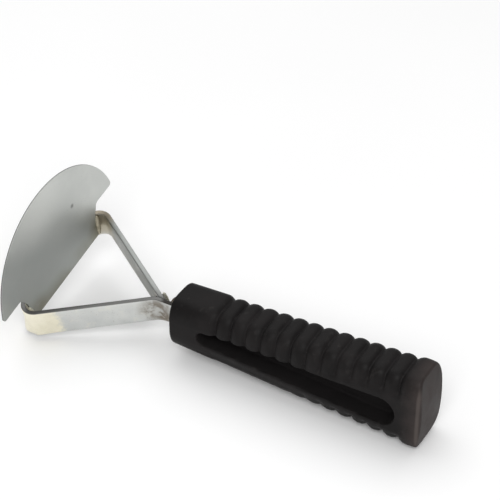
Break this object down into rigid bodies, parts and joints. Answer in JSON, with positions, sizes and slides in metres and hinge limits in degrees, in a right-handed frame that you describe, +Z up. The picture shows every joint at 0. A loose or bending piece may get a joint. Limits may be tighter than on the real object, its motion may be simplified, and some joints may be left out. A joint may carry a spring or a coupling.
{
  "type": "hand scraper",
  "caption": "Hand scraper: a half-moon steel blade stands on a bent flat-bar yoke, whose arms meet at a welded tang in a ribbed black rubber grip with slotted sides.",
  "frame": {"origin": "bottom centre of the bounding box: on the surface that the tool lies on", "axes": "+X along the grip from the blade to the butt, +Z up as the tool lies, +Y towards the side that the steel head is rolled up on"},
  "size_m": [0.211, 0.096, 0.0778],
  "materials": {
    "blade_steel": "cold-rolled sheet, soft grey sheen, faint heat tint near the welds",
    "strap_steel": "zinc-plated flat bar, satin",
    "burnt_steel": "weld-burnt steel, brown-black and dull",
    "black_rubber": "moulded black rubber, satin"
  },
  "bodies": {
    "root": {"scraper_blade": "blade_steel", "yoke_strap": "strap_steel", "tang_rod": "burnt_steel", "weld_blade_far": "burnt_steel", "weld_blade_near": "burnt_steel", "weld_apex": "burnt_steel", "weld_tang_end": "burnt_steel", "weld_tang_top": "burnt_steel", "weld_tang_bottom": "burnt_steel", "rubber_grip": "black_rubber"}
  },
  "joints": []
}
